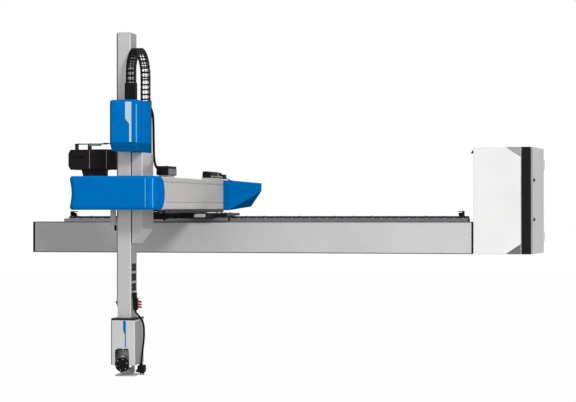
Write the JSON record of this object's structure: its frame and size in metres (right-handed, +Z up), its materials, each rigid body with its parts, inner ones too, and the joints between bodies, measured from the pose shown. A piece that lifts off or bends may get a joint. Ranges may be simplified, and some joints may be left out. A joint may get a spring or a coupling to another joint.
{
  "type": "gantry robot",
  "caption": "Three-axis gantry robot with a long traverse beam, sliding cross beam, rack-driven vertical arm, swivelling tool plate and control cabinet.",
  "frame": {"origin": "middle of the four foot bolts in the traverse beam's underside", "axes": "+X along the traverse beam towards the control cabinet, +Y from the arm side to the back, +Z up"},
  "size_m": [3.4541, 2.12, 2.149],
  "materials": {
    "beam_steel": "satin grey paint",
    "aluminium": "natural anodised",
    "rail_steel": "ground steel",
    "blue_cover": "gloss blue",
    "blue_cap": "satin blue",
    "black_plastic": "moulded black",
    "black_metal": "satin black",
    "rubber": "matt",
    "white_panel": "satin white",
    "grey_panel": "satin light grey",
    "fitting_red": "moulded red",
    "wrist_white": "satin white"
  },
  "bodies": {
    "traverse": {"traverse_beam": "beam_steel", "left_end_cap": "blue_cap", "traverse_rails": "rail_steel", "traverse_rack": "rail_steel", "end_stop_brackets": "black_metal", "end_stop_bumpers": "rubber", "cabinet_bracket": "black_metal", "cabinet_body": "grey_panel", "cabinet_front_panel": "white_panel", "cabinet_band": "black_plastic", "cabinet_mounting_plate": "aluminium", "servo_drives": "black_plastic", "cabinet_hinges": "black_metal"},
    "cabinet_door": {"cabinet_door": "grey_panel", "cabinet_door_leaves": "black_metal"},
    "upper_door_latch": {"upper_door_latch": "black_plastic"},
    "lower_door_latch": {"lower_door_latch": "black_plastic"},
    "carriage": {"carriage_plate": "black_metal", "carriage_guide_blocks": "rail_steel", "cross_guide_blocks": "rail_steel", "traverse_motor": "black_metal", "cross_motor": "black_metal"},
    "traverse_pinion": {"traverse_pinion": "rail_steel"},
    "cross_pinion": {"cross_pinion": "rail_steel"},
    "demoulding": {"demoulding_beam": "aluminium", "demoulding_rails": "rail_steel", "demoulding_rack": "rail_steel", "head_bracket": "aluminium", "arm_guide_blocks": "rail_steel", "arm_drive_plate": "aluminium", "arm_motor": "black_metal", "motor_supports": "black_metal", "head_shelves": "aluminium", "front_cover": "blue_cover", "upper_cover": "blue_cover", "upper_frame": "aluminium", "chain_guide": "black_metal", "chain_trough": "black_metal", "connector_box": "black_plastic", "valve_block": "black_plastic", "rear_end_plate": "aluminium", "rear_cover": "blue_cover"},
    "arm_pinion": {"arm_pinion": "rail_steel"},
    "arm": {"arm_profile": "aluminium", "arm_rail": "rail_steel", "arm_rack": "rail_steel", "arm_end_caps": "black_plastic", "arm_side_plates": "black_plastic", "wrist_plate": "aluminium", "wrist_cover": "wrist_white", "wrist_block": "aluminium", "wrist_actuator": "black_plastic", "hose_gland": "black_plastic", "wrist_hose": "rubber", "tool_connector": "black_plastic", "air_fittings": "fitting_red"},
    "arm_chain": {"arm_chain": "black_plastic"},
    "tool_flange": {"swivel_shaft": "rail_steel", "tool_flange": "aluminium"}
  },
  "joints": [
    {"name": "traverse_slide", "type": "slide", "parent": "traverse", "child": "carriage", "axis": [1, 0, 0], "range_m": [-0.51, 1.53]},
    {"name": "demoulding_slide", "type": "slide", "parent": "carriage", "child": "demoulding", "axis": [0, 1, 0], "range_m": [-0.3, 0.4]},
    {"name": "arm_slide", "type": "slide", "parent": "demoulding", "child": "arm", "axis": [0, 0, 1], "range_m": [-0.58, 0.3]},
    {"name": "arm_chain_slide", "type": "slide", "parent": "demoulding", "child": "arm_chain", "axis": [0, 0, 1], "range_m": [-0.29, 0.15]},
    {"name": "tool_swivel", "type": "hinge", "parent": "arm", "child": "tool_flange", "pos_m": [-0.582, -0.894, -0.715], "axis": [1, 0, 0], "range_deg": [-90, 0]},
    {"name": "traverse_pinion_spin", "type": "hinge", "parent": "carriage", "child": "traverse_pinion", "pos_m": [-0.628, -0.002, 0.25], "axis": [0, 0, 1], "range_deg": [-1393, 4176]},
    {"name": "cross_pinion_spin", "type": "hinge", "parent": "carriage", "child": "cross_pinion", "pos_m": [-0.417, 0.19, 0.25], "axis": [0, 0, 1], "range_deg": [-820, 1093]},
    {"name": "arm_pinion_spin", "type": "hinge", "parent": "demoulding", "child": "arm_pinion", "pos_m": [-0.6255, -0.789, 0.61], "axis": [1, 0, 0], "range_deg": [-638, 1232]},
    {"name": "cabinet_door_hinge", "type": "hinge", "parent": "traverse", "child": "cabinet_door", "pos_m": [1.94207, 0.35464, 0.3], "axis": [0, 0, 1], "range_deg": [0, 110]},
    {"name": "upper_latch_turn", "type": "hinge", "parent": "cabinet_door", "child": "upper_door_latch", "pos_m": [1.88662, -0.04619, 0.48], "axis": [0.9943, -0.1064, 0], "range_deg": [0, 90]},
    {"name": "lower_latch_turn", "type": "hinge", "parent": "cabinet_door", "child": "lower_door_latch", "pos_m": [1.88662, -0.04619, 0.225], "axis": [0.9943, -0.1064, 0], "range_deg": [0, 90]}
  ],
  "couplings": [
    {"joint": "traverse_pinion_spin", "follows": "traverse_slide", "rad_per_m": 47.619},
    {"joint": "cross_pinion_spin", "follows": "demoulding_slide", "rad_per_m": 47.619},
    {"joint": "arm_pinion_spin", "follows": "arm_slide", "rad_per_m": -37.037},
    {"joint": "arm_chain_slide", "follows": "arm_slide", "ratio": 0.5}
  ]
}
